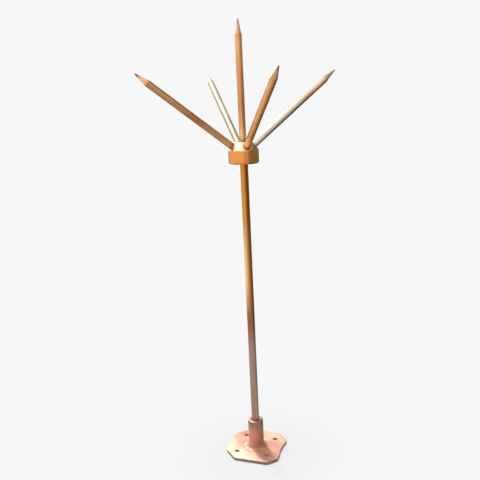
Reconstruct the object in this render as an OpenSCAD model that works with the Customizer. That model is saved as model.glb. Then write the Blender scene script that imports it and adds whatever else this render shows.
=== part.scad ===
// Lightning rod with five spikes.
// A cast base bolts down on four holes. A plain round rod screws into its boss
// and carries a turned head, and five pointed spikes screw into the head: one
// upright, four splayed. The origin is at the middle of the base's underside.

/* [Base plate] */
// Width of the square plate across its flat sides
plate_w = 142; // [128:1:180]
// Thickness of the plate
plate_t = 9; // [6:0.5:14]
// Length taken off both sides at each cut corner: +X+Y, -X+Y, -X-Y, +X-Y
corner_cuts = [28, 30, 34, 22]; // [18:1:36]
// Radius that softens the eight upright corners of the plate
plate_corner_r = 15; // [4:1:24]
// Radius along the plate's top edge
plate_edge_r = 1.5; // [1:0.5:4]
// Depth of the hollow in the plate's uneven side
side_hollow = 3; // [1:0.5:5]
// Length of that hollow along the side
side_hollow_l = 60; // [40:1:64]
// Distance between neighbouring bolt holes
bolt_pitch = 80; // [72:1:86]
// Diameter of the bolt holes
bolt_hole_d = 12; // [8:0.5:14]

/* [Boss] */
// Diameter of the boss under its rim
boss_d = 39; // [34:0.5:46]
// Height of the boss above the plate
boss_h = 75; // [50:1:100]
// Slope of the boss's side, which lets the casting leave its mould
boss_draft = 0.2; // [0:0.1:2]
// Radius of the fillet at the boss's foot
boss_fillet = 12; // [4:1:14]
// Radius round the boss's rim
boss_rim_r = 2.5; // [1:0.5:4]

/* [Rod] */
// Diameter of the rod
rod_d = 19; // [16:0.5:21]
// Length of the rod from end to end
rod_l = 750; // [400:5:1500]
// Bevel on both ends of the rod
rod_bevel = 1.5; // [0.5:0.25:2.5]
// Height of the rod's lower end above the plate's underside
rod_foot = 20; // [14:1:30]
// How far the rod screws into the head
rod_grip = 22; // [14:1:24]

/* [Head] */
// Diameter of the bar that the head is turned from
head_d = 74; // [71:1:84]
// Distance across two of the head's six flats
head_flats = 70; // [66:0.5:74]
// Height of the collar that carries the flats
collar_h = 30.5; // [28:0.5:40]
// Bevel on the lower edge of the collar
collar_bevel = 3; // [1:0.5:5]
// Height of the conical shoulder above the collar
shoulder_h = 20.5; // [19:0.5:22]
// Radius round the top edge of the shoulder
shoulder_edge_r = 1.5; // [0.5:0.25:2]
// Turn of the flats against the plate's sides, in degrees
flats_turn = -5; // [-30:0.5:30]

/* [Spikes] */
// Diameter of a spike
spike_d = 16; // [14:0.5:17]
// Length of a spike above its seat
spike_l = 274; // [150:2:400]
// Length of the sharpened point
point_l = 36; // [20:1:60]
// Radius of the very tip
tip_r = 1.4; // [0.3:0.1:1.5]
// Bevel on the foot of a spike, where it meets its seat
foot_bevel = 0.5; // [0.25:0.25:1]
// Diameter of the screwed stud under a spike
stud_d = 12; // [9:0.5:13]
// Length of that stud
stud_l = 14; // [10:0.5:15]
// Bevel on the end of the stud
stud_bevel = 1; // [0.5:0.25:1.5]
// Width of the relief groove between stud and seat
relief_w = 2; // [1:0.25:2.5]
// Depth of the relief groove
relief_depth = 1; // [0.5:0.25:1.25]
// Lift of the splayed spikes above the horizontal, in degrees
splay_lift = 38; // [34:0.5:42]
// Turn of the splayed spikes against the plate's sides, in degrees
splay_turn = 38; // [0:0.5:90]
// How far each splayed spike stands above or below that lift, in degrees
lift_offsets = [-1, 1, 1, 0]; // [-1.5:0.5:1.5]
// How far each splayed spike is turned off its quarter of the round, in degrees
turn_offsets = [1.5, 2, -3, -1]; // [-4:0.5:4]
// Depth of the seat that is faced into the shoulder for a splayed spike
seat_depth = 1.5; // [1.2:0.1:2]
// Height of the seat's middle above the foot of the shoulder
seat_rise = 11.5; // [10.5:0.25:12.5]

/* [Fits] */
// Gap between a screwed end and its tapped hole, all round
thread_gap = 0.1; // [0.05:0.05:0.3]
// Room in a tapped hole beyond the screwed end
end_room = 1; // [0.5:0.25:1.5]
// Bevel at the mouth of a tapped hole for the rod
mouth_bevel = 1.5; // [0.5:0.25:2]
// Gap between a splayed spike and the wall of its faced seat
seat_gap = 0.5; // [0.25:0.25:1]

/* [Hidden] */
$fn = 96;

cast_copper = [0.86, 0.60, 0.47];
drawn_copper = [0.78, 0.48, 0.26];
head_copper = [0.90, 0.55, 0.29];
spike_copper = [0.80, 0.54, 0.34];

// Full angle of the cone that a drill leaves at the end of a blind hole
drill_point = 118;
// How far a cut reaches past the face that it opens
over = 5;
// Turns between two sides of the plate, and between a side and a cut corner
quarter = 90;
eighth = 45;

// Distance from the plate's middle to a flat side and to each cut corner's face
plate_half = plate_w / 2;
corner_half = [for (cut = corner_cuts) (plate_w - cut) / sqrt(2)];
// Middles of the two circles that soften a cut corner's ends
round_far = plate_half - plate_corner_r;
round_near = [for (half = corner_half) (half - plate_corner_r) * sqrt(2) - round_far];
// How far such a circle reaches along X or Y to the face of a cut corner
round_reach = plate_corner_r * cos(eighth);
// Length of the bars that shape the plate, enough to span it from corner to corner
bar_l = 2 * plate_w;
// Radius of the arc whose chord is the hollow in the uneven side
hollow_r = (pow(side_hollow_l / 2, 2) + pow(side_hollow, 2)) / (2 * side_hollow);
// Steps round that arc's full circle
hollow_steps = 360;

boss_top = plate_t + boss_h;
boss_r = boss_d / 2;
boss_foot_r = boss_r + (boss_h - boss_fillet - boss_rim_r) * tan(boss_draft);

rod_r = rod_d / 2;
// How many flats are milled on the head
flats = 6;
head_r = head_d / 2;
head_h = collar_h + shoulder_h;
head_z = rod_foot + rod_l - rod_grip;
// The shoulder's slope is square to a splayed spike with no offset
shoulder_top_r = head_r - shoulder_h * tan(splay_lift);
seat_r = head_r - seat_rise * tan(splay_lift);
// Middle of the circle that rounds the shoulder's top edge
edge_middle = [
    shoulder_top_r - shoulder_edge_r * (1 - sin(splay_lift)) / cos(splay_lift),
    head_h - shoulder_edge_r
];

spike_r = spike_d / 2;
stud_r = stud_d / 2;
// The point's flank runs from the spike's side to a touch on the tip's circle
tip_z = spike_l - tip_r;
flank = acos(tip_r / norm([spike_r, point_l - tip_r])) - atan2(point_l - tip_r, spike_r);
tip_touch = [tip_r * cos(flank), tip_z + tip_r * sin(flank)];

function turned(p, turn) = [p.x * cos(turn) - p.y * sin(turn), p.x * sin(turn) + p.y * cos(turn)];

// Web between a level face and an upright one, for a fillet of radius r
module fillet_web(r) {
    difference() {
        translate([-over, 0]) square([r + over, r]);
        translate([r, r]) circle(r);
    }
}

// The four points where the straight sides end, at the corner of the first quarter
function touches(near) = [
    [plate_half, near],
    [round_far + round_reach, near + round_reach],
    [near + round_reach, round_far + round_reach],
    [near, plate_half]
];

// A square with cut corners, whose eight upright corners are softened
module plate_outline() {
    polygon([for (i = [0 : 3]) for (p = touches(round_near[i])) turned(p, quarter * i)]);
    for (i = [0 : 3])
        for (p = [[round_far, round_near[i]], [round_near[i], round_far]])
            translate(turned(p, quarter * i)) circle(plate_corner_r);
}

// A long bar that ends at two faces of the plate, its top edges rounded
module edged_bar(left, right, turn) {
    rotate([90, 0, turn])
        linear_extrude(bar_l, center = true) {
            translate([-left, 0]) square([left + right, plate_t - plate_edge_r]);
            translate([plate_edge_r - left, 0]) square([left + right - 2 * plate_edge_r, plate_t]);
            for (x = [plate_edge_r - left, right - plate_edge_r])
                translate([x, plate_t - plate_edge_r]) circle(plate_edge_r);
        }
}

// The plate before drilling, all eight of its top edges rounded
module plate_blank() {
    intersection() {
        linear_extrude(plate_t) plate_outline();
        edged_bar(plate_half, plate_half, 0);
        edged_bar(plate_half, plate_half, quarter);
        edged_bar(corner_half[2], corner_half[0], eighth);
        edged_bar(corner_half[3], corner_half[1], eighth + quarter);
    }
}

// What the uneven side has lost: a wide shallow arc with its top edge rounded
module side_hollow_cut() {
    translate([plate_half - side_hollow + hollow_r, 0, 0])
        rotate_extrude($fn = hollow_steps) {
            translate([0, -over]) square([hollow_r, plate_t + 2 * over]);
            translate([hollow_r, plate_t])
                mirror([0, 1]) fillet_web(plate_edge_r);
        }
}

module boss_blank() {
    rotate_extrude() {
        polygon([
            [0, 0],
            [boss_foot_r, 0],
            [boss_foot_r, plate_t + boss_fillet],
            [boss_r, boss_top - boss_rim_r],
            [boss_r - boss_rim_r, boss_top],
            [0, boss_top]
        ]);
        translate([boss_r - boss_rim_r, boss_top - boss_rim_r]) circle(boss_rim_r);
        translate([boss_foot_r, plate_t]) fillet_web(boss_fillet);
    }
}

// A blind hole as drilled, its mouth at the origin and its length along -Z
module blind_hole(r, depth) {
    point_h = r / tan(drill_point / 2);
    translate([0, 0, -depth]) cylinder(h = depth + over, r = r);
    translate([0, 0, -depth - point_h]) cylinder(h = point_h, r1 = 0, r2 = r);
}

// A tapped hole for one end of the rod, with a bevelled mouth
module rod_hole(grip) {
    hole_r = rod_r + thread_gap;
    blind_hole(hole_r, grip + end_room);
    translate([0, 0, -mouth_bevel])
        cylinder(h = mouth_bevel + over, r1 = hole_r, r2 = hole_r + mouth_bevel + over);
}

module stud_hole() {
    blind_hole(stud_r + thread_gap, stud_l + end_room);
}

module base() {
    color(cast_copper)
        difference() {
            union() {
                plate_blank();
                boss_blank();
            }
            side_hollow_cut();
            for (x = [-1, 1])
                for (y = [-1, 1])
                    translate([x * bolt_pitch / 2, y * bolt_pitch / 2, -over])
                        cylinder(h = plate_t + 2 * over, d = bolt_hole_d);
            translate([0, 0, boss_top]) rod_hole(boss_top - rod_foot);
        }
}

module rod() {
    color(drawn_copper)
        translate([0, 0, rod_foot])
            rotate_extrude()
                polygon([
                    [0, 0],
                    [rod_r - rod_bevel, 0],
                    [rod_r, rod_bevel],
                    [rod_r, rod_l - rod_bevel],
                    [rod_r - rod_bevel, rod_l],
                    [0, rod_l]
                ]);
}

// The head as it leaves the lathe: a bevelled collar under a conical shoulder
module head_blank() {
    rotate_extrude() {
        polygon([
            [0, 0],
            [head_r - collar_bevel, 0],
            [head_r, collar_bevel],
            [head_r, collar_h],
            edge_middle + shoulder_edge_r * [cos(splay_lift), sin(splay_lift)],
            [edge_middle.x, head_h],
            [0, head_h]
        ]);
        translate(edge_middle) circle(shoulder_edge_r);
    }
}

// Puts its children on the seat of splayed spike i, +Z pointing out of the head
module at_seat(i) {
    rotate([0, 0, splay_turn + turn_offsets[i] + quarter * i])
        translate([seat_r, 0, collar_h + seat_rise])
            rotate([0, quarter - splay_lift - lift_offsets[i], 0])
                translate([0, 0, -seat_depth])
                    children();
}

module spike_hub() {
    color(head_copper)
        translate([0, 0, head_z])
            difference() {
                intersection() {
                    head_blank();
                    rotate([0, 0, flats_turn])
                        cylinder(h = head_h, r = head_flats / 2 / cos(180 / flats), $fn = flats);
                }
                mirror([0, 0, 1]) rod_hole(rod_grip);
                translate([0, 0, head_h]) stud_hole();
                for (i = [0 : 3])
                    at_seat(i) {
                        cylinder(h = over, r = spike_r + seat_gap);
                        stud_hole();
                    }
            }
}

// A spike with its seat at the origin, its point along +Z and its stud below
module spike() {
    color(spike_copper)
        rotate_extrude() {
            polygon([
                [0, -stud_l],
                [stud_r - stud_bevel, -stud_l],
                [stud_r, stud_bevel - stud_l],
                [stud_r, -relief_w],
                [stud_r - relief_depth, -relief_w],
                [stud_r - relief_depth, 0],
                [spike_r - foot_bevel, 0],
                [spike_r, foot_bevel],
                [spike_r, spike_l - point_l],
                tip_touch,
                [0, tip_touch.y]
            ]);
            intersection() {
                translate([0, tip_z]) circle(tip_r);
                translate([0, tip_z]) square(tip_r);
            }
        }
}

module centre_spike() {
    translate([0, 0, head_z + head_h]) spike();
}

module side_spike(i) {
    translate([0, 0, head_z]) at_seat(i) spike();
}

module side_spike_1() { side_spike(0); }
module side_spike_2() { side_spike(1); }
module side_spike_3() { side_spike(2); }
module side_spike_4() { side_spike(3); }

base();
rod();
spike_hub();
centre_spike();
side_spike_1();
side_spike_2();
side_spike_3();
side_spike_4();
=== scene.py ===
import math

import bmesh
import bpy
from mathutils import Matrix, Vector, noise


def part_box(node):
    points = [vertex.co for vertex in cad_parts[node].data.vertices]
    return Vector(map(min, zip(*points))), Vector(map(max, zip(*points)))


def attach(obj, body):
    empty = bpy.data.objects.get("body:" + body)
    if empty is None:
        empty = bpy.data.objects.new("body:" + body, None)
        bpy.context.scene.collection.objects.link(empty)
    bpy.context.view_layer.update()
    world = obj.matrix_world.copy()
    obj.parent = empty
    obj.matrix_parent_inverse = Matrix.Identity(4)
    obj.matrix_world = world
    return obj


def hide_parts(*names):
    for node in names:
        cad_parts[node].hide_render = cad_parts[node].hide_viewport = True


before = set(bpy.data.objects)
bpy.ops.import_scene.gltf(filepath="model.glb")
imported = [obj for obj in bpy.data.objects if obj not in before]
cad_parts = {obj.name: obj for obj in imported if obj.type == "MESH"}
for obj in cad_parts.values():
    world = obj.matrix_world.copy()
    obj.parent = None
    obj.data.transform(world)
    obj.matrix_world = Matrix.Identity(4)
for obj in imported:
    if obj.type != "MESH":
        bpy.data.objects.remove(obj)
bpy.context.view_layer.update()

# The photograph's frame is square, and this many pixels wide
PHOTO_SIZE = 480
SENSOR_WIDTH = 36.0
FOCAL_PIXELS = 631.3
# The eye's place round the rod's axis, in degrees and metres, and how its view is turned
EYE_AZIMUTH, EYE_DISTANCE, EYE_HEIGHT = 18.79, 1.4932, 0.9104
EYE_YAW, EYE_PITCH, EYE_ROLL = 0.69, 13.12, -2.74
# The level ways to the right and to the near side in the photograph, as x and y
RIGHT = (math.cos(math.radians(EYE_AZIMUTH)), math.sin(math.radians(EYE_AZIMUTH)))
NEAR = (RIGHT[1], -RIGHT[0])
# How bright the background shows, where 1 is white, and how bright it is as a light
PALE, AMBIENT = 0.93, 0.30


def z_range(node):
    """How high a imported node's lowest and highest points are."""
    low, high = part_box(node)
    return low.z, high.z


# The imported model's heights and lengths, in metres
_, BOSS_TOP = z_range("base")
ROD_FOOT, ROD_TOP = z_range("rod")
HEAD_Z, HEAD_TOP = z_range("spike_hub")
STUD_END, SPIKE_TOP = z_range("centre_spike")
SPIKE_L, STUD_L = SPIKE_TOP - HEAD_TOP, HEAD_TOP - STUD_END
# Its other sizes, by piece: the base, the rod, the head, and the spikes with their studs
PLATE_T, SOCKET_R = 0.009, 0.0096
ROD_R, ROD_BEVEL = 0.0095, 0.0015
HEAD_R, COLLAR_H = 0.037, 0.0305
SPIKE_R, POINT_L, TIP_R = 0.008, 0.036, 0.0014
STUD_R, STUD_BEVEL, RELIEF_W, RELIEF_DEPTH = 0.006, 0.001, 0.002, 0.001
# The splayed spikes' lift and turn, and each one's own offsets from them, in degrees
SPLAY_LIFT, SPLAY_TURN = 38.0, 38.0
LIFT_OFFSETS, TURN_OFFSETS = (-1.0, 1.0, 1.0, 0.0), (1.5, 2.0, -3.0, -1.0)
# How high over the collar their seats lie, and how deep they are cut
SEAT_RISE, SEAT_DEPTH = 0.0115, 0.0015

# Screw threads by pitch, depth and the length that they run out in, and how far from its ends the
# rod's two reach
ROD_THREAD, STUD_THREAD = (0.0016, 0.0009, 0.001), (0.0015, 0.0008, 0.0006)
LOWER_THREAD_L, UPPER_THREAD_L = 0.045, 0.021
# The scribed ring round the rod and the nick near its top, where a half is from the middle to the rim
RING_Z, RING_HALF, RING_DEPTH = 0.3125, 0.0012, 0.00035
NICK_Z, NICK_TURN, NICK_DEPTH = 0.686, -20.0, 0.0006
NICK_HALF_W, NICK_HALF_H = 0.0016, 0.0012
# Waves in the casting's skin, as height and fineness
WAVES = ((0.00028, 42.0), (0.00012, 120.0))

# How many sides the turned pieces have, and the angle in degrees from which an edge shows as sharp
ROD_SIDES, SPIKE_SIDES = 128, 64
SHARP_ANGLE = 35.0
# The even meshes' grid and how often they are smoothed, for the base and for the head
BASE_GRID, BASE_ROUNDS = 0.00085, 3
HEAD_GRID, HEAD_ROUNDS = 0.00056, 2


def link_object(name, data):
    """A new object in the scene, which holds this mesh, lamp or camera."""
    made = bpy.data.objects.new(name, data)
    bpy.context.scene.collection.objects.link(made)
    return made


def seen(side, depth, up):
    """A place by how far right, how far back and how high it is in the photograph."""
    return (side * RIGHT[0] - depth * NEAR[0], side * RIGHT[1] - depth * NEAR[1], up)


def aim_camera():
    """The photograph's view: the eye's place round the rod, and how it is turned."""
    heading = math.radians(EYE_AZIMUTH + EYE_YAW)
    pitch, roll = math.radians(EYE_PITCH), math.radians(EYE_ROLL)
    forward = Vector((
        -math.sin(heading) * math.cos(pitch),
        math.cos(heading) * math.cos(pitch),
        -math.sin(pitch),
    ))
    level = Vector((math.cos(heading), math.sin(heading), 0.0))
    right = Matrix.Rotation(roll, 3, -forward) @ level
    up = right.cross(forward)
    eye = seen(0.0, -EYE_DISTANCE, EYE_HEIGHT)
    data = bpy.data.cameras.new("camera")
    data.sensor_width = SENSOR_WIDTH
    data.lens = FOCAL_PIXELS * SENSOR_WIDTH / PHOTO_SIZE
    data.clip_start, data.clip_end = 0.05, 100.0
    camera = link_object("camera", data)
    camera.matrix_world = Matrix((
        (right.x, up.x, -forward.x, eye[0]),
        (right.y, up.y, -forward.y, eye[1]),
        (right.z, up.z, -forward.z, eye[2]),
        (0.0, 0.0, 0.0, 1.0),
    ))
    bpy.context.scene.camera = camera


class Nodes:
    """A short way to write a material's nodes. x, y and z are a point's place in its own piece."""

    def __init__(self, name):
        self.made = bpy.data.materials.new(name)
        self.made.use_nodes = True
        self.tree = self.made.node_tree
        self.shader = self.tree.nodes["Principled BSDF"]
        self.place = self.add("ShaderNodeTexCoord").outputs["Object"]
        apart = self.add("ShaderNodeSeparateXYZ")
        self.feed(apart.inputs[0], self.place)
        self.x, self.y, self.z = apart.outputs

    def add(self, kind, **settings):
        node = self.tree.nodes.new(kind)
        for key, value in settings.items():
            setattr(node, key, value)
        return node

    def feed(self, socket, value):
        if isinstance(value, bpy.types.NodeSocket):
            self.tree.links.new(value, socket)
        elif socket.type == "RGBA":
            socket.default_value = (*value, 1.0)
        else:
            socket.default_value = value

    def math(self, operation, *values):
        node = self.add("ShaderNodeMath", operation=operation)
        for socket, value in zip(node.inputs, values):
            self.feed(socket, value)
        return node.outputs[0]

    def plus(self, a, b):
        return self.math("ADD", a, b)

    def times(self, first, *others):
        for other in others:
            first = self.math("MULTIPLY", first, other)
        return first

    def reach(self, a, b):
        """How far a point is from where a and b are both zero."""
        return self.math("SQRT", self.plus(self.times(a, a), self.times(b, b)))

    def along(self, way):
        """How far a point lies from the z axis along a level way."""
        return self.plus(self.times(self.x, way[0]), self.times(self.y, way[1]))

    def disc(self, a, b, a_middle, b_middle, radius):
        """A soft round patch: one at its middle, nothing from radius on."""
        a_off = self.math("SUBTRACT", a, a_middle)
        b_off = self.math("SUBTRACT", b, b_middle)
        return self.ramp(self.reach(a_off, b_off), radius, 0.0)

    def noise(self, scale, detail=3.0, roughness=0.5, place=None):
        node = self.add("ShaderNodeTexNoise")
        self.feed(node.inputs["Vector"], place or self.place)
        node.inputs["Scale"].default_value = scale
        node.inputs["Detail"].default_value = detail
        node.inputs["Roughness"].default_value = roughness
        return node.outputs["Fac"]

    def streaks(self, scales, detail=3.0):
        """Noise that is drawn out where one of its three scales is small."""
        stretched = self.add("ShaderNodeVectorMath", operation="MULTIPLY")
        self.feed(stretched.inputs[0], self.place)
        stretched.inputs[1].default_value = scales
        return self.noise(1.0, detail, place=stretched.outputs[0])

    def ramp(self, value, low, high, to_low=0.0, to_high=1.0):
        """An eased step from to_low, where value is low, to to_high, where it is high."""
        node = self.add("ShaderNodeMapRange", interpolation_type="SMOOTHSTEP")
        self.feed(node.inputs["Value"], value)
        ends = {"From Min": low, "From Max": high, "To Min": to_low, "To Max": to_high}
        for key, amount in ends.items():
            node.inputs[key].default_value = amount
        return node.outputs[0]

    def blend(self, share, a, b, kind="MIX"):
        """Colour a, with a share of colour b mixed in."""
        node = self.add("ShaderNodeMix", data_type="RGBA", blend_type=kind)
        self.feed(node.inputs[0], share)
        # A mix node's sockets 6 and 7 are its two colours, and 2 is the mixed one
        self.feed(node.inputs[6], a)
        self.feed(node.inputs[7], b)
        return node.outputs[2]

    def bump(self, height, distance, strength, under=None):
        """A normal for relief this deep, on top of another bump where one is given."""
        node = self.add("ShaderNodeBump")
        self.feed(node.inputs["Height"], height)
        node.inputs["Distance"].default_value = distance
        node.inputs["Strength"].default_value = strength
        if under is not None:
            self.feed(node.inputs["Normal"], under)
        return node.outputs[0]

    def finish(self, colour, roughness, normal, coat, coat_roughness, metallic=1.0):
        self.feed(self.shader.inputs["Base Color"], colour)
        self.feed(self.shader.inputs["Roughness"], roughness)
        self.feed(self.shader.inputs["Normal"], normal)
        self.shader.inputs["Metallic"].default_value = metallic
        self.shader.inputs["Coat Weight"].default_value = coat
        self.shader.inputs["Coat Roughness"].default_value = coat_roughness
        return self.made


def cast_metal():
    """Pinkish cast copper: a fine sandy skin, slow colour clouds, painted light and shade, and a dark
    plate edge of painted shade.
    """
    n = Nodes("cast_copper")
    # How far a point lies from the axis, to the right and to the near side
    away, side, near = n.reach(n.x, n.y), n.along(RIGHT), n.along(NEAR)
    colour = boss_colour(n, plate_with_painted_highlight(n), away, side, near)
    colour = plate_light_and_shade_patches(n, colour, side, near)
    colour = boss_rim_highlight(n, colour, away, side)
    spots = n.ramp(n.noise(260.0), 0.56, 0.72, 0.0, 0.30)
    colour = n.blend(spots, colour, (0.60, 0.26, 0.17))
    colour = plate_edge_and_hole_shade(n, colour, away)
    roughness = n.ramp(n.noise(60.0, 4.0), 0.3, 0.7, 0.48, 0.60)
    skin = n.bump(n.noise(900.0, 4.0, roughness=0.65), 0.00018, 0.5)
    skin = n.bump(n.noise(150.0), 0.0005, 0.35, skin)
    return n.finish(colour, roughness, skin, coat=0.3, coat_roughness=0.35, metallic=0.65)


def plate_with_painted_highlight(n):
    """The plate's own clouds, with a painted pale highlight along its front and at one back corner.
    """
    clouds = n.ramp(n.noise(22.0, 4.0), 0.36, 0.66)
    drift = n.math("MULTIPLY_ADD", n.noise(16.0), 0.05, -0.025)
    front = n.plus(n.along((-0.62, -0.78)), drift)
    back = n.plus(n.along((0.55, 0.83)), drift)
    painted_highlight = n.math("MAXIMUM", n.ramp(front, 0.018, 0.050), n.ramp(back, 0.030, 0.065, 0.0, 0.8))
    highlight_colour = n.blend(n.ramp(front, 0.052, 0.075), (0.94, 0.72, 0.56), (0.96, 0.80, 0.53))
    return n.blend(painted_highlight, n.blend(clouds, (0.76, 0.37, 0.27), (0.83, 0.45, 0.335)), highlight_colour)


def boss_colour(n, colour, away, side, near):
    """The boss: pink and lighter at its foot and on the left, painted light; browner toward its top
    and on its right side, painted shade.
    """
    middle = n.ramp(n.z, PLATE_T + 0.010, PLATE_T + 0.032)
    top = n.ramp(n.z, PLATE_T + 0.042, BOSS_TOP - 0.004)
    # Painted light on the left of the foot; painted shade toward the top and on the right
    cast = n.blend(n.ramp(side, -0.006, -0.016), (0.70, 0.305, 0.215), (0.94, 0.46, 0.34))
    cast = n.blend(middle, cast, (0.80, 0.35, 0.24))
    cast = n.blend(top, cast, (0.41, 0.195, 0.125))
    cast = n.blend(n.times(middle, n.ramp(side, -0.006, 0.015, 0.0, 0.5)), cast, (0.30, 0.165, 0.10))
    boss = n.times(n.ramp(away, 0.034, 0.024), n.ramp(n.z, PLATE_T + 0.002, PLATE_T + 0.012))
    colour = n.blend(boss, colour, cast)
    # Painted shadow: its foot is browner in front, where the boss's shadow falls
    foot = n.times(
        n.ramp(away, 0.036, 0.022),
        n.ramp(n.z, PLATE_T + 0.012, PLATE_T + 0.004),
        n.ramp(near, 0.004, 0.016),
        n.ramp(side, 0.016, 0.004),
        n.ramp(side, -0.027, -0.016),
        0.9,
    )
    return n.blend(foot, colour, (0.50, 0.22, 0.16))


def plate_light_and_shade_patches(n, colour, side, near):
    """Soft patches on the plate round the boss: the pale and tan ones painted highlights, the pink
    and mauve ones painted shade.
    """
    pink, pale = (0.76, 0.36, 0.27), (0.96, 0.76, 0.54)
    tan, mauve = (0.80, 0.50, 0.34), (0.50, 0.24, 0.19)
    on_plate = n.ramp(n.z, PLATE_T + 0.012, PLATE_T + 0.006)
    # How far right and how near their middles lie, with their radius, share and colour
    for side_middle, near_middle, radius, share, patch_colour in (
        (-0.0235, 0.019, 0.013, 0.75, pink),
        (-0.0245, -0.006, 0.014, 0.90, pale),
        (-0.048, 0.009, 0.018, 0.60, tan),
        (0.026, -0.026, 0.019, 0.80, pale),
        (0.024, -0.005, 0.013, 0.80, pale),
        (-0.030, -0.062, 0.015, 0.65, mauve),
    ):
        patch = n.disc(side, near, side_middle, near_middle, radius)
        colour = n.blend(n.times(patch, on_plate, share), colour, patch_colour)
    return colour


def boss_rim_highlight(n, colour, away, side):
    """The boss's top: a painted highlight on its outer rim, brightest on the left, and the darker
    face inside it.
    """
    rim = n.times(
        n.ramp(n.z, BOSS_TOP - 0.0017, BOSS_TOP - 0.0006),
        n.ramp(away, 0.024, 0.021),
        n.ramp(side, 0.012, -0.004, 0.25, 0.90),
    )
    colour = n.blend(rim, colour, (0.96, 0.64, 0.50))
    face = n.times(
        n.ramp(n.z, BOSS_TOP - 0.0010, BOSS_TOP - 0.0004),
        n.ramp(away, 0.0180, 0.0168),
        0.75,
    )
    return n.blend(face, colour, (0.50, 0.31, 0.25))


def plate_edge_and_hole_shade(n, colour, away):
    """The plate's outer edge and the walls of its bolt holes, darkened with painted shade."""
    # Painted shade darkens the plate's outer side face
    edge = n.times(
        n.ramp(n.z, PLATE_T - 0.0005, PLATE_T - 0.0014),
        n.ramp(away, 0.064, 0.066),
        n.ramp(n.noise(70.0), 0.3, 0.7, 0.75, 1.0),
    )
    colour = n.blend(edge, colour, (0.24, 0.15, 0.12))
    # Painted shade in the bolt holes
    # Only the holes' walls lie at this reach from the axis and under the plate's top
    hole_shade = n.times(
        n.ramp(away, 0.048, 0.0505),
        n.ramp(away, 0.0650, 0.0628),
        n.ramp(n.z, PLATE_T - 0.0004, PLATE_T - 0.0014),
    )
    # Two of the holes, across from each other, are redder inside
    reddened = n.ramp(n.times(n.x, n.y), 0.0005, -0.0005)
    return n.blend(hole_shade, colour, n.blend(reddened, (0.56, 0.43, 0.33), (0.63, 0.32, 0.26)))


def drawn_metal():
    """Drawn copper: fine lines along the bar, tarnish clouds, a duller, greyer lower third, and
    painted light and shade on its sides.
    """
    n = Nodes("drawn_copper")
    side = n.along(RIGHT)
    lines = n.streaks((1500.0, 1500.0, 9.0))
    clouds = n.ramp(n.streaks((38.0, 38.0, 9.0), 4.0), 0.36, 0.68)
    ragged = n.math("MULTIPLY_ADD", n.streaks((90.0, 90.0, 20.0), 4.0), 0.05, n.z)

    def over_ring(low, high, *shares):
        """A ragged step between two heights over the scribed ring."""
        return n.ramp(ragged, RING_Z + low, RING_Z + high, *shares)

    colour = n.blend(clouds, (0.74, 0.29, 0.065), (0.82, 0.35, 0.09))
    brown = n.blend(clouds, (0.28, 0.118, 0.036), (0.34, 0.15, 0.050))
    colour = n.blend(over_ring(0.18, 0.07), colour, brown)
    dull = over_ring(0.075, -0.005)
    grey = n.blend(clouds, (0.42, 0.265, 0.20), (0.49, 0.32, 0.255))
    colour = n.blend(dull, colour, grey)
    # Painted highlight: over its middle the bar is bright on the left
    left_highlight = n.times(
        n.ramp(side, -0.001, -0.006),
        over_ring(0.07, 0.18),
        over_ring(0.34, 0.23, 0.0, 0.95),
    )
    colour = n.blend(left_highlight, colour, (0.98, 0.66, 0.33))
    # Painted shade: it is browner on the right, and most so near its top
    right_side = n.ramp(side, -0.005, 0.004)
    topmost = over_ring(0.28, 0.36)
    browner = n.times(right_side, over_ring(0.08, 0.20, 0.25, 0.60))
    browner = n.math("MULTIPLY_ADD", n.times(topmost, right_side), 0.12, browner)
    browner = n.times(browner, over_ring(0.03, 0.07))
    colour = n.blend(browner, colour, n.blend(topmost, (0.37, 0.175, 0.085), (0.37, 0.115, 0.010)))
    colour = n.blend(topmost, colour, (1.0, 0.94, 0.80), "MULTIPLY")
    # Painted light: round the ring and under it the right side is pale
    pale = n.times(
        n.ramp(side, 0.001, 0.008),
        over_ring(0.05, -0.01, 0.15, 0.95),
        over_ring(-0.17, -0.08, 0.75, 1.0),
        over_ring(0.14, 0.08),
    )
    colour = n.blend(pale, colour, (0.64, 0.48, 0.42))
    in_ring = n.math("COMPARE", n.z, RING_Z, RING_HALF - 0.0001)
    colour = n.blend(n.times(in_ring, 0.55), colour, (0.16, 0.09, 0.05))
    colour = n.blend(n.ramp(lines, 0.42, 0.70, 0.0, 0.18), colour, (0.42, 0.16, 0.05))
    roughness = n.plus(n.ramp(clouds, 0.0, 1.0, 0.30, 0.38), n.times(dull, 0.20))
    normal = n.bump(lines, 0.00006, 0.6)
    normal = n.bump(n.streaks((60.0, 60.0, 14.0), 2.0), 0.0006, 0.15, normal)
    return n.finish(colour, roughness, normal, coat=0.06, coat_roughness=0.3)


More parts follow.
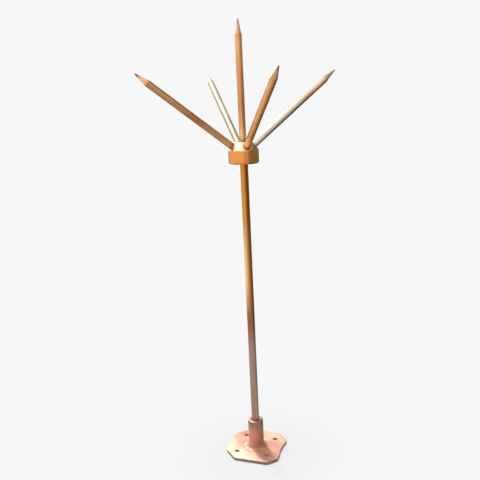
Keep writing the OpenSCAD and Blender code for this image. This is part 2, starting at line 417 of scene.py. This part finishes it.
def head_metal():
    """Turned and milled copper, with level marks: rings on the cone, straight cuts on the flats."""
    n = Nodes("head_copper")
    side = n.along(RIGHT)
    clouds = n.ramp(n.noise(45.0, 4.0), 0.36, 0.66)
    colour = n.blend(clouds, (0.94, 0.32, 0.075), (0.98, 0.37, 0.10))
    # Painted shade: the flats are duller at both sides, and their front corner is paler, with some
    # wear and a painted highlight
    colour = n.blend(n.ramp(side, 0.011, 0.020), colour, (0.75, 0.35, 0.075))
    colour = n.blend(n.ramp(side, -0.026, -0.034, 0.0, 0.8), colour, (0.70, 0.37, 0.16))
    off_corner = n.math("ABSOLUTE", n.math("SUBTRACT", side, 0.011))
    colour = n.blend(n.ramp(off_corner, 0.006, 0.001, 0.0, 0.45), colour, (0.97, 0.62, 0.34))
    # The cone over the collar is pinker, and browner on the right, a painted shade
    on_cone = n.ramp(n.z, HEAD_Z + COLLAR_H - 0.0002, HEAD_Z + COLLAR_H + 0.0004)
    cone = n.blend(n.ramp(side, 0.012, 0.025), (0.92, 0.54, 0.34), (0.46, 0.27, 0.13))
    colour = n.blend(on_cone, colour, cone)
    # Painted shade: the head's lowest few millimetres are darker
    underside = n.ramp(n.z, HEAD_Z + 0.0045, HEAD_Z + 0.0025, 0.0, 0.75)
    colour = n.blend(underside, colour, (0.44, 0.17, 0.045))
    spots = n.ramp(n.noise(420.0, 2.0), 0.60, 0.72, 0.0, 0.3)
    colour = n.blend(spots, colour, (0.45, 0.17, 0.06))
    roughness = n.ramp(n.noise(80.0), 0.3, 0.7, 0.24, 0.36)
    marks = n.bump(n.streaks((6.0, 6.0, 2600.0), 2.0), 0.00005, 0.5)
    return n.finish(colour, roughness, marks, coat=0.12, coat_roughness=0.25)


def dimmed(colour, share):
    """The same colour at this share of its brightness."""
    return tuple(share * part for part in colour)


def spike_metal(
    name, sides, dark_span, side_colours, dark_span_colours, cone, tip, satin=0.0, dull=0.0, bright=0.0, foot_shade=0.6,
):
    """Drawn copper with a turned point.

    sides is the axis, 0 for x and 1 for y, and the two places between which one side's colour
    gives way to the other's: the two colours are painted light and painted shade. dark_span is the
    heights between which the shank has its dark_span_colours instead of its side_colours. Both are a
    pair, one colour for each side. satin is how much rougher it is than the smoothest spike, dull how
    much darker, as painted shade, its first side is at the outside, bright how much brighter, as
    painted light from the head, it is near its foot, and foot_shade the share of painted shade at its
    foot.
    """
    n = Nodes(name)
    lines = n.streaks((1300.0, 1300.0, 10.0))
    clouds = n.ramp(n.streaks((60.0, 60.0, 16.0), 4.0), 0.36, 0.66)
    ragged = n.math("MULTIPLY_ADD", n.streaks((90.0, 90.0, 30.0)), 0.03, n.z)
    # The shank's two sides have their own colours: painted light on one and painted shade on the
    # other
    axis, turn_from, turn_to = sides
    across = (n.x, n.y)[axis]
    other_side = n.ramp(across, turn_from, turn_to)
    low, high = dark_span
    in_dark_span = n.times(n.ramp(ragged, low, low + 0.03), n.ramp(ragged, high + 0.03, high))
    colour = n.blend(in_dark_span, n.blend(other_side, *side_colours), n.blend(other_side, *dark_span_colours))
    # Painted shade: the first side darkens toward its outside
    if dull:
        colour = n.blend(n.ramp(across, -0.004, -0.0078, 0.0, dull), colour, (0.0, 0.0, 0.0))
    colour = n.blend(clouds, n.blend(1.0, colour, (0.80, 0.78, 0.76), "MULTIPLY"), colour)
    colour = n.blend(n.ramp(lines, 0.42, 0.70, 0.0, 0.2), colour, dimmed(side_colours[0], 0.5))
    # The turned point, the line where it begins, its tip, and the shank's foot
    shoulder = SPIKE_L - POINT_L
    point = n.ramp(n.z, shoulder - 0.05 * POINT_L, shoulder + 0.28 * POINT_L)
    colour = n.blend(point, colour, cone)
    line = n.times(n.math("COMPARE", n.z, shoulder, 0.0009), 0.35)
    colour = n.blend(line, colour, dimmed(side_colours[0], 0.35))
    colour = n.blend(n.ramp(n.z, SPIKE_L - 0.016, SPIKE_L - 0.003), colour, tip)
    # Painted light: the shank is paler near its foot, beside the head's bright cone
    colour = n.blend(n.ramp(n.z, 0.045, 0.015, 0.0, bright), colour, (1.0, 0.72, 0.40))
    # Painted shade: a dark ring at the very foot, where the spike meets its seat
    colour = n.blend(n.ramp(n.z, 0.010, 0.002, 0.0, foot_shade), colour, (0.30, 0.13, 0.10))
    # Drawn lines run along the shank, and turned rings round the point
    turned = n.ramp(n.z, shoulder - 0.0004, shoulder + 0.0004)
    height = n.blend(turned, lines, n.streaks((8.0, 8.0, 2400.0), 2.0))
    shank_roughness = n.ramp(clouds, 0.0, 1.0, 0.32 + satin, 0.40 + satin)
    roughness = n.math("MULTIPLY_ADD", turned, 0.22, shank_roughness)
    n.feed(n.shader.inputs["Specular Tint"], (0.90, 0.72, 0.55))
    return n.finish(colour, roughness, n.bump(height, 0.00006, 0.6), coat=0.05, coat_roughness=0.4)


# The spikes: node, name and what spike_metal is told of their colours, with their painted light and
# shade
SPIKES = [
    ("centre_spike", "upright_spike", {
        "sides": (0, 0.0, 0.006), "dark_span": (0.065, 0.165),
        "side_colours": ((0.98, 0.52, 0.23), (0.76, 0.37, 0.155)),
        "dark_span_colours": ((0.86, 0.44, 0.19), (0.66, 0.31, 0.125)),
        "cone": (0.80, 0.50, 0.40), "tip": (0.50, 0.32, 0.26),
        "bright": 0.45,
    }),
    ("side_spike_1", "splayed_spike_1", {
        "sides": (0, 0.0002, 0.0042), "dark_span": (0.10, 0.30),
        "side_colours": ((1.0, 0.96, 0.80), (0.46, 0.25, 0.15)),
        "dark_span_colours": ((1.0, 0.75, 0.61), (0.30, 0.10, 0.055)),
        "cone": (0.64, 0.48, 0.33), "tip": (0.42, 0.36, 0.24),
        "satin": 0.14, "dull": 0.30, "foot_shade": 0.1,
    }),
    ("side_spike_2", "splayed_spike_2", {
        "sides": (0, -0.0005, 0.0055), "dark_span": (0.02, 0.09),
        "side_colours": ((0.73, 0.70, 0.53), (0.88, 0.85, 0.70)),
        "dark_span_colours": ((0.63, 0.58, 0.41), (0.74, 0.68, 0.51)),
        "cone": (0.73, 0.73, 0.71), "tip": (0.42, 0.41, 0.39),
    }),
    ("side_spike_3", "splayed_spike_3", {
        "sides": (0, -0.0005, 0.0055), "dark_span": (0.085, 0.135),
        "side_colours": ((0.72, 0.375, 0.18), (0.47, 0.230, 0.095)),
        "dark_span_colours": ((0.58, 0.275, 0.12), (0.38, 0.170, 0.060)),
        "cone": (0.97, 0.62, 0.37), "tip": (0.18, 0.10, 0.09),
        "bright": 0.12,
    }),
    ("side_spike_4", "splayed_spike_4", {
        "sides": (1, -0.008, -0.002), "dark_span": (0.03, 0.07),
        "side_colours": ((1.0, 0.56, 0.24), (0.60, 0.27, 0.10)),
        "dark_span_colours": ((0.92, 0.50, 0.20), (0.54, 0.235, 0.080)),
        "cone": (0.68, 0.39, 0.23), "tip": (0.30, 0.16, 0.12),
        "bright": 0.7,
    }),
]


def rise(value, low, run):
    """Nothing up to low, and one from a run further on."""
    return min(1.0, max(0.0, (value - low) / run))


def span(low, high, count):
    """Heights from low to high, both among them, in this many even steps."""
    return [low + (high - low) * i / count for i in range(count + 1)]


def lathe(name, rings, sides, relief):
    """A closed turned form.

    rings are (radius, height) from the lower middle to the upper middle, and relief says how much is
    added to the radius at a turn and a height.
    """
    mesh = bmesh.new()
    low = mesh.verts.new((0.0, 0.0, rings[0][1]))
    high = mesh.verts.new((0.0, 0.0, rings[-1][1]))
    loops = []
    for radius, height in rings[1:-1]:
        loop = []
        for i in range(sides):
            turn = 2.0 * math.pi * i / sides
            r = radius + relief(turn, height)
            loop.append(mesh.verts.new((r * math.cos(turn), r * math.sin(turn), height)))
        loops.append(loop)
    for i in range(sides):
        j = (i + 1) % sides
        mesh.faces.new((low, loops[0][j], loops[0][i]))
        mesh.faces.new((high, loops[-1][i], loops[-1][j]))
        for under, over in zip(loops, loops[1:]):
            mesh.faces.new((under[i], under[j], over[j], over[i]))
    return finish_mesh(name, mesh)


def finish_mesh(name, mesh):
    """A mesh of smooth faces that keeps its sharp edges."""
    bmesh.ops.recalc_face_normals(mesh, faces=mesh.faces)
    for face in mesh.faces:
        face.smooth = True
    for edge in mesh.edges:
        edge.smooth = edge.calc_face_angle(0.0) < math.radians(SHARP_ANGLE)
    data = bpy.data.meshes.new(name)
    mesh.to_mesh(data)
    mesh.free()
    return data


def thread_relief(turn, height, low, high, thread):
    """What a thread from low to high, which runs out at both its ends, adds to the radius."""
    if not low <= height <= high:
        return 0.0
    pitch, depth, run_out = thread
    phase = (height / pitch - turn / (2.0 * math.pi)) % 1.0
    # The crest and the root are flat, and the flank between them is steep
    flank = rise(2.4 * abs(2.0 * phase - 1.0), 0.7, 1.0)
    ease = min(1.0, (height - low) / run_out, (high - height) / run_out)
    return ease * (-depth * flank)


def make_rod(metal):
    """The upright, with a thread at each end, the scribed ring and the nick."""
    threads = [
        (ROD_FOOT + ROD_BEVEL, ROD_FOOT + LOWER_THREAD_L),
        (ROD_TOP - UPPER_THREAD_L, ROD_TOP - ROD_BEVEL),
    ]

    def relief(turn, height):
        added = sum(thread_relief(turn, height, low, high, ROD_THREAD) for low, high in threads)
        off_ring = abs(height - RING_Z) / RING_HALF
        if off_ring < 1.0:
            added -= RING_DEPTH * (1.0 - off_ring ** 2)
        off_turn = (turn - math.radians(NICK_TURN) + math.pi) % (2.0 * math.pi) - math.pi
        off_nick = math.hypot(ROD_R * off_turn / NICK_HALF_W, (height - NICK_Z) / NICK_HALF_H)
        if off_nick < 1.0:
            added -= NICK_DEPTH * (1.0 - off_nick ** 2)
        return added

    # The rings of the mesh lie close together in the threads, at the scribed ring and at the nick
    spacing = 0.0002
    heights = []
    for low, high in threads:
        heights += span(low, high, int((high - low) / spacing))
    heights += span(threads[0][1] + 0.001, RING_Z - 0.002, 24)
    heights += span(RING_Z - 0.0015, RING_Z + 0.0015, 16)
    heights += span(RING_Z + 0.002, NICK_Z - 0.003, 40)
    heights += span(NICK_Z - 0.002, NICK_Z + 0.002, 20)
    heights += span(NICK_Z + 0.003, threads[1][0] - 0.001, 10)
    rings = [(0.0, ROD_FOOT), (ROD_R - ROD_BEVEL, ROD_FOOT)]
    rings += [(ROD_R, height) for height in sorted(heights)]
    rings += [(ROD_R - ROD_BEVEL, ROD_TOP), (0.0, ROD_TOP)]
    rod = link_object("drawn_rod", lathe("drawn_rod", rings, ROD_SIDES, relief))
    place_piece(rod, "rod", metal)


def spike_mesh():
    """A spike from its stud's end to its tip. Its foot is at the origin, and it points up."""
    thread_low, thread_high = STUD_BEVEL - STUD_L, -RELIEF_W
    groove_r, groove_wall = STUD_R - RELIEF_DEPTH, 0.0001
    shoulder, soft = SPIKE_L - POINT_L, 0.0005

    def relief(turn, height):
        return thread_relief(turn, height, thread_low, thread_high, STUD_THREAD)

    # The point's flank runs from the shank to where it touches the round tip
    tip_z = SPIKE_L - TIP_R
    reach = math.hypot(SPIKE_R, POINT_L - TIP_R)
    flank = math.acos(TIP_R / reach) - math.atan2(POINT_L - TIP_R, SPIKE_R)
    touch_r, touch_z = TIP_R * math.cos(flank), tip_z + TIP_R * math.sin(flank)
    # The stud, with its thread and the groove behind it
    rings = [(0.0, -STUD_L), (STUD_R - STUD_BEVEL, -STUD_L)]
    rings += [(STUD_R, height) for height in span(thread_low, thread_high, 56)]
    rings += [(groove_r, groove_wall - RELIEF_W), (groove_r, -groove_wall), (groove_r, 0.0)]
    # The shank, with its foot and its shoulder softened
    rings += [(SPIKE_R - soft, 0.0), (SPIKE_R - 0.3 * soft, 0.3 * soft), (SPIKE_R, soft)]
    rings += [(SPIKE_R, height) for height in span(4.0 * soft, shoulder - 3.0 * soft, 20)]
    rings += [(SPIKE_R, shoulder - soft), (SPIKE_R - 0.12 * soft, shoulder - 0.2 * soft)]
    rings += [(SPIKE_R - 0.4 * soft, shoulder + soft)]
    # The point and its tip
    for share in span(0.04, 1.0, 24):
        rings.append((SPIKE_R + (touch_r - SPIKE_R) * share, shoulder + (touch_z - shoulder) * share))
    for turn in span(flank, math.pi / 2.0, 6)[1:-1]:
        rings.append((TIP_R * math.cos(turn), tip_z + TIP_R * math.sin(turn)))
    rings.append((0.0, SPIKE_L))
    return lathe("spike", rings, SPIKE_SIDES, relief)


def splayed_place(i):
    """Where the splayed spike of this number, from 0, stands on its seat."""
    seat_r = HEAD_R - SEAT_RISE * math.tan(math.radians(SPLAY_LIFT))
    turn = math.radians(SPLAY_TURN + TURN_OFFSETS[i] + 90.0 * i)
    lean = math.radians(90.0 - SPLAY_LIFT - LIFT_OFFSETS[i])
    return (
        Matrix.Translation((0.0, 0.0, HEAD_Z))
        @ Matrix.Rotation(turn, 4, "Z")
        @ Matrix.Translation((seat_r, 0.0, COLLAR_H + SEAT_RISE))
        @ Matrix.Rotation(lean, 4, "Y")
        @ Matrix.Translation((0.0, 0.0, -SEAT_DEPTH))
    )


def make_spikes():
    """Five spikes from one form, each with its own tarnish and its own painted light and shade."""
    form = spike_mesh()
    places = [Matrix.Translation((0.0, 0.0, HEAD_TOP))]
    places += [splayed_place(i) for i in range(len(LIFT_OFFSETS))]
    for (node, name, look), place in zip(SPIKES, places):
        spike = link_object(name, form.copy())
        spike.matrix_world = place
        place_piece(spike, node, spike_metal(name, **look))


def remade(node, name, grid, rounds):
    """A fine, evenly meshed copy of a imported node, with its edges softened."""
    made = link_object(name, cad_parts[node].data.copy())
    made.data.materials.clear()
    even = made.modifiers.new("even", "REMESH")
    even.mode, even.voxel_size = "VOXEL", grid
    soft = made.modifiers.new("soft", "SMOOTH")
    soft.factor, soft.iterations = 0.5, rounds
    graph = bpy.context.evaluated_depsgraph_get()
    data = bpy.data.meshes.new_from_object(made.evaluated_get(graph), depsgraph=graph)
    made.modifiers.clear()
    made.data = data
    data.name = name
    data.shade_smooth()
    return made


def place_piece(made, node, metal):
    """Dress a piece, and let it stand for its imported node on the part's one body."""
    made.data.materials.append(metal)
    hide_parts(node)
    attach(made, "root")


def make_base(metal):
    """The casting: slow waves in its skin, a flat underside and a true socket."""
    base = remade("base", "cast_base", BASE_GRID, BASE_ROUNDS)
    # The waves begin this far from the axis and this high, and what lies under ground is made flat
    waves_from_r, waves_from_z, ground = 0.0125, 0.001, 0.0006
    socket_r, wall_low = SOCKET_R + 0.00002, ROD_FOOT - 0.0005
    # All new places are worked out first, because a moved point turns its neighbours' normals
    places = []
    for vertex in base.data.vertices:
        place = vertex.co.copy()
        away = math.hypot(place.x, place.y)
        free = rise(away, waves_from_r, 0.004) * rise(place.z, waves_from_z, 0.003)
        wave = sum(height * noise.noise(place * fineness) for height, fineness in WAVES)
        place += vertex.normal * (free * wave)
        if place.z < ground:
            place.z = 0.0
        if away < socket_r and place.z > wall_low:
            place.xy = place.xy * (socket_r / away)
        places.append(place)
    for vertex, place in zip(base.data.vertices, places):
        vertex.co = place
    place_piece(base, "base", metal)


def make_head(metal):
    """The turned head with its flats, seats and tapped holes."""
    head = remade("spike_hub", "turned_head", HEAD_GRID, HEAD_ROUNDS)
    place_piece(head, "spike_hub", metal)


def seen_rays(tree):
    """One for the rays that show the background: seen straight, mirrored or through glass."""
    rays = tree.nodes.new("ShaderNodeLightPath")
    level = rays.outputs["Is Camera Ray"]
    for kind in ("Is Glossy Ray", "Is Transmission Ray"):
        both = tree.nodes.new("ShaderNodeMath")
        both.operation = "MAXIMUM"
        tree.links.new(level, both.inputs[0])
        tree.links.new(rays.outputs[kind], both.inputs[1])
        level = both.outputs[0]
    return level


def matte(name, colour, roughness):
    """A plain paint without gloss."""
    n = Nodes(name)
    n.feed(n.shader.inputs["Base Color"], colour)
    n.feed(n.shader.inputs["Roughness"], roughness)
    n.feed(n.shader.inputs["Specular IOR Level"], 0.0)
    return n


def make_floor():
    """A wide pale floor, as bright as the background, with a faint shadow round the base."""
    half = 30.0
    data = bpy.data.meshes.new("floor")
    corners = [(-half, -half, 0), (half, -half, 0), (half, half, 0), (-half, half, 0)]
    data.from_pydata(corners, [], [(0, 1, 2, 3)])
    floor = link_object("floor", data)
    n = matte("floor_paint", (0.84, 0.83, 0.82), 0.85)
    glow = n.add("ShaderNodeEmission")
    n.feed(glow.inputs["Color"], (1.0, 1.0, 1.0))
    n.feed(glow.inputs["Strength"], PALE)
    # How much of the floor's look is the background's, from the plate's edge outward
    glow_share = n.ramp(n.reach(n.x, n.y), 0.065, 0.30, 0.80, 1.0)
    mix = n.add("ShaderNodeMixShader")
    n.feed(mix.inputs[0], n.times(seen_rays(n.tree), glow_share))
    n.tree.links.new(n.shader.outputs[0], mix.inputs[1])
    n.tree.links.new(glow.outputs[0], mix.inputs[2])
    n.tree.links.new(mix.outputs[0], n.tree.nodes["Material Output"].inputs["Surface"])
    data.materials.append(n.made)


def make_world():
    """An even white world, PALE where it is seen or mirrored, and AMBIENT where it lights."""
    world = bpy.data.worlds.new("world")
    bpy.context.scene.world = world
    world.use_nodes = True
    tree = world.node_tree
    background = tree.nodes["Background"]
    background.inputs["Color"].default_value = (1.0, 1.0, 1.0, 1.0)
    strength = tree.nodes.new("ShaderNodeMapRange")
    strength.inputs["To Min"].default_value = AMBIENT
    strength.inputs["To Max"].default_value = PALE
    tree.links.new(seen_rays(tree), strength.inputs["Value"])
    tree.links.new(strength.outputs[0], background.inputs["Strength"])


def lamp(name, place, target, size, radiance):
    """A rectangular lamp, by how bright its face is."""
    data = bpy.data.lights.new(name, "AREA")
    data.shape = "RECTANGLE"
    data.size, data.size_y = size
    data.energy = radiance * math.pi * size[0] * size[1]
    made = link_object(name, data)
    made.location = place
    made.rotation_euler = (Vector(target) - Vector(place)).to_track_quat("-Z", "Y").to_euler()


def card(name, corners, shade):
    """A flag that only the object's reflections see: it keeps light off one side."""
    data = bpy.data.meshes.new(name)
    data.from_pydata(corners, [], [range(len(corners))])
    made = link_object(name, data)
    data.materials.append(matte(name, shade, 0.9).made)
    made.visible_camera = False
    made.visible_shadow = False
    made.visible_diffuse = False


def upright_card(name, a, b, low, top, shade):
    """A card that stands between two places, each by how far right and how far back it is."""
    card(name, [seen(*a, low), seen(*b, low), seen(*b, top), seen(*a, top)], shade)


def make_lights():
    """Two lamps, and grey cards round the object for the darker sides of its reflections."""
    lamp("key_light", seen(-0.53, 1.10, 1.46), target=(0, 0, 0.03), size=(0.30, 0.30), radiance=62.0)
    lamp("top_softbox", seen(-0.70, 0.0, 2.1), target=(0, 0, 0.75), size=(1.2, 1.3), radiance=2.0)
    foot, at_head, top = -0.02, 0.78, 2.6
    far_right, near_right, near_middle = (0.9, 2.0), (0.9, -1.0), (0.15, -1.9)
    upright_card("right_flag", far_right, near_right, foot, at_head, (0.30, 0.31, 0.22))
    upright_card("right_veil", far_right, near_right, at_head, top, (0.62, 0.58, 0.52))
    upright_card("front_flag", near_right, near_middle, foot, at_head, (0.78, 0.72, 0.64))
    upright_card("back_flag", (-1.3, 1.3), (1.3, 1.3), 0.3, 1.3, (0.50, 0.46, 0.42))
    corners = [(0.12, 0.0), (0.9, -0.45), (0.9, 2.0), (0.12, 1.2)]
    card("low_flag", [seen(side, depth, 0.002) for side, depth in corners], (0.40, 0.36, 0.30))


aim_camera()
make_base(cast_metal())
make_head(head_metal())
make_rod(drawn_metal())
make_spikes()
make_floor()
make_world()
make_lights()
bpy.context.scene.view_settings.view_transform = "Standard"
